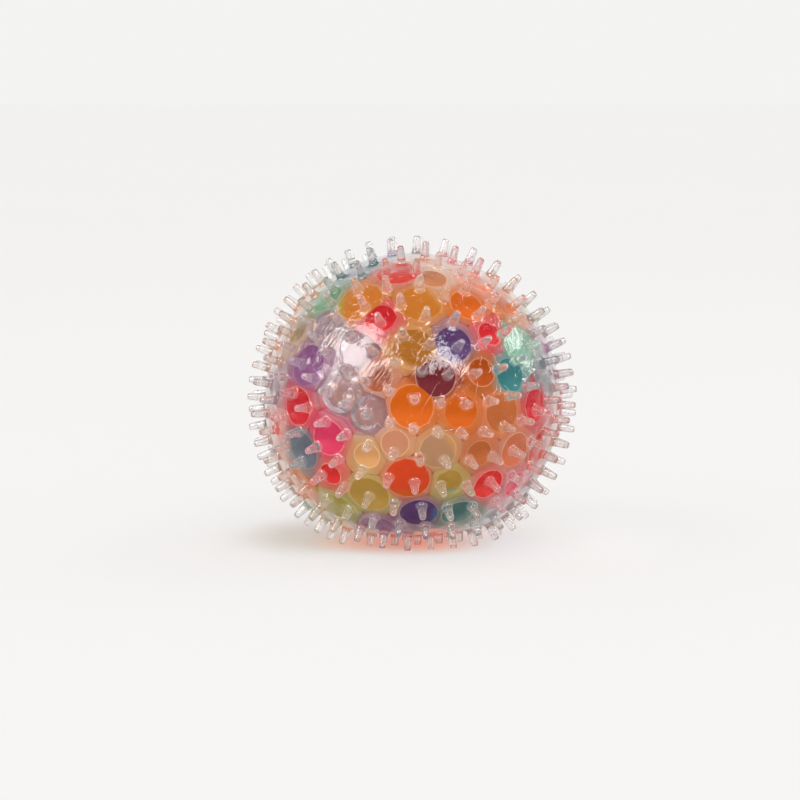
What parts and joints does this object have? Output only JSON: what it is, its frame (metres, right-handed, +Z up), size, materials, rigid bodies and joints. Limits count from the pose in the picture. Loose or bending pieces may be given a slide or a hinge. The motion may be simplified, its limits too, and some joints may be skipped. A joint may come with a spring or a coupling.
{
  "type": "spiky squeeze ball",
  "caption": "Round clear rubbery squeeze ball with short blunt spikes all over, packed with soft coloured water beads.",
  "frame": {"origin": "on the surface the ball stands on, under the middle of its box", "axes": "+Z up; the side that the picture shows faces -Y"},
  "size_m": [0.0684, 0.0686, 0.063],
  "materials": {
    "clear_rubber": "clear, glossy, lightly scuffed",
    "stopper_rubber": "cloudy clear, satin",
    "bead_amber": "wet, translucent gel",
    "bead_blush": "wet, translucent gel",
    "bead_clear": "wet, translucent gel",
    "bead_copper": "wet, translucent gel",
    "bead_coral": "wet, translucent gel",
    "bead_crimson": "wet, translucent gel",
    "bead_gold": "wet, translucent gel",
    "bead_green": "wet, translucent gel",
    "bead_indigo": "wet, translucent gel",
    "bead_lime": "wet, translucent gel",
    "bead_maroon": "wet, translucent gel",
    "bead_mauve": "wet, translucent gel",
    "bead_mint": "wet, translucent gel",
    "bead_olive": "wet, translucent gel",
    "bead_orange": "wet, translucent gel",
    "bead_peach": "wet, translucent gel",
    "bead_red": "wet, translucent gel",
    "bead_salmon": "wet, translucent gel",
    "bead_slate": "wet, translucent gel",
    "bead_tan": "wet, translucent gel",
    "bead_teal": "wet, translucent gel",
    "bead_vermilion": "wet, translucent gel",
    "bead_violet": "wet, translucent gel",
    "bead_yellow": "wet, translucent gel"
  },
  "bodies": {
    "root": {"skin": "clear_rubber", "stopper": "stopper_rubber", "bead_01_orange": "bead_orange", "bead_02_orange": "bead_orange", "bead_03_amber": "bead_amber", "bead_04_orange": "bead_orange", "bead_05_vermilion": "bead_vermilion", "bead_06_tan": "bead_tan", "bead_07_blush": "bead_blush", "bead_08_yellow": "bead_yellow", "bead_09_olive": "bead_olive", "bead_10_lime": "bead_lime", "bead_11_orange": "bead_orange", "bead_12_red": "bead_red", "bead_13_crimson": "bead_crimson", "bead_14_slate": "bead_slate", "bead_15_crimson": "bead_crimson", "bead_16_salmon": "bead_salmon", "bead_17_mauve": "bead_mauve", "bead_18_violet": "bead_violet", "bead_19_clear": "bead_clear", "bead_20_clear": "bead_clear", "bead_21_clear": "bead_clear", "bead_22_copper": "bead_copper", "bead_23_gold": "bead_gold", "bead_24_maroon": "bead_maroon", "bead_25_indigo": "bead_indigo", "bead_26_orange": "bead_orange", "bead_27_orange": "bead_orange", "bead_28_orange": "bead_orange", "bead_29_amber": "bead_amber", "bead_30_peach": "bead_peach", "bead_31_tan": "bead_tan", "bead_32_red": "bead_red", "bead_33_gold": "bead_gold", "bead_34_teal": "bead_teal", "bead_35_green": "bead_green", "bead_36_clear": "bead_clear", "bead_37_olive": "bead_olive", "bead_38_red": "bead_red", "bead_39_red": "bead_red", "bead_40_mint": "bead_mint", "bead_41_teal": "bead_teal", "bead_42_slate": "bead_slate", "bead_43_red": "bead_red", "bead_44_amber": "bead_amber", "bead_45_amber": "bead_amber", "bead_46_coral": "bead_coral", "bead_47_red": "bead_red", "bead_48_crimson": "bead_crimson", "bead_49_olive": "bead_olive", "bead_50_indigo": "bead_indigo", "bead_51_teal": "bead_teal", "bead_52_violet": "bead_violet", "rear_beads_left": "bead_crimson", "rear_beads_right": "bead_gold", "rear_beads_top": "bead_teal", "rear_beads_under": "bead_orange", "rear_beads_back": "bead_violet", "inner_beads": "bead_peach"}
  },
  "joints": []
}
